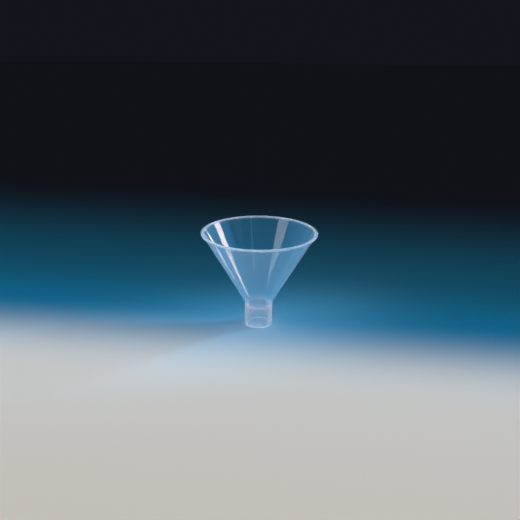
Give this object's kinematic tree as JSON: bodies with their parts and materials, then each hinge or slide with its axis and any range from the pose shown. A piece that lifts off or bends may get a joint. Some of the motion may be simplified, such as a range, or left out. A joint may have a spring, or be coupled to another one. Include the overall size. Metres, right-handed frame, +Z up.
{
  "type": "powder funnel",
  "caption": "One-piece translucent plastic powder funnel: a 60 degree cone with a flat flanged rim, filleted into a short wide stem.",
  "frame": {"origin": "centre of the stem's open end, on the surface that the funnel stands on", "axes": "+Z up along the funnel's axis, from the stem's open end to the rim; X and Y are alike, because the funnel is a body of revolution"},
  "size_m": [0.1, 0.1, 0.085],
  "materials": {
    "natural_polypropylene": "translucent natural polypropylene, polished mould finish"
  },
  "bodies": {
    "root": {"funnel": "natural_polypropylene"}
  },
  "joints": []
}
